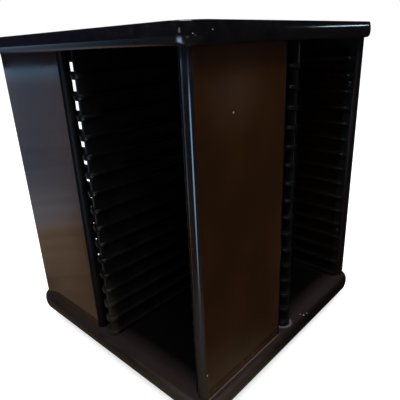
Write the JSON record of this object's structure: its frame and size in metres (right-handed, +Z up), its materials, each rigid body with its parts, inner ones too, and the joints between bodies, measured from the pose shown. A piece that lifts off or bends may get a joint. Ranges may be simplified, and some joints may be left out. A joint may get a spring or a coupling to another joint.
{
  "type": "rotating media tower",
  "caption": "Square rotating media tower: black boards with rounded rims, brown panels set as a pinwheel and a slotted bay on each side, turning on a ball bearing plate over a round plinth.",
  "frame": {"origin": "on the turning axis, at the surface that the tower stands on", "axes": "+Z up along the turning axis; -Y is the front side, which is on the left in the picture, and +X is the right side"},
  "size_m": [0.308, 0.308, 0.36],
  "materials": {
    "black_lacquer": "gloss black lacquer over board",
    "brown_panel": "dark walnut-brown satin lacquer",
    "rack_plastic": "moulded black plastic with a soft sheen",
    "zinc_steel": "zinc-plated steel",
    "black_steel": "black-oxide steel",
    "ball_steel": "polished bearing steel",
    "nylon": "natural nylon",
    "beech": "plain fluted beech",
    "rubber_pad": "black rubber"
  },
  "bodies": {
    "base": {"plinth": "black_lacquer", "plinth_pads": "rubber_pad", "lower_bearing_plate": "zinc_steel", "lower_plate_screws": "zinc_steel"},
    "ball_ring": {"ball_cage": "nylon", "bearing_balls": "ball_steel"},
    "tower": {"upper_bearing_plate": "zinc_steel", "upper_plate_screws": "zinc_steel", "bottom_board": "black_lacquer", "top_board": "black_lacquer", "panel_screws": "zinc_steel", "top_dowels": "beech", "rack_screws": "black_steel", "panel_front": "brown_panel", "panel_right": "brown_panel", "panel_back": "brown_panel", "panel_left": "brown_panel", "lead_nosing_front": "black_lacquer", "lead_nosing_right": "black_lacquer", "lead_nosing_back": "black_lacquer", "lead_nosing_left": "black_lacquer", "trail_nosing_front": "black_lacquer", "trail_nosing_right": "black_lacquer", "trail_nosing_back": "black_lacquer", "trail_nosing_left": "black_lacquer", "divider_rack_front": "rack_plastic", "divider_rack_right": "rack_plastic", "divider_rack_back": "rack_plastic", "divider_rack_left": "rack_plastic", "side_rack_front": "rack_plastic", "side_rack_right": "rack_plastic", "side_rack_back": "rack_plastic", "side_rack_left": "rack_plastic"}
  },
  "joints": [
    {"name": "tower_spin", "type": "hinge", "parent": "base", "child": "tower", "pos_m": [0, 0, 0.018], "axis": [0, 0, 1], "continuous": true},
    {"name": "ball_orbit", "type": "hinge", "parent": "base", "child": "ball_ring", "pos_m": [0, 0, 0.018], "axis": [0, 0, 1], "continuous": true}
  ],
  "couplings": [
    {"joint": "ball_orbit", "follows": "tower_spin", "ratio": 0.5}
  ]
}
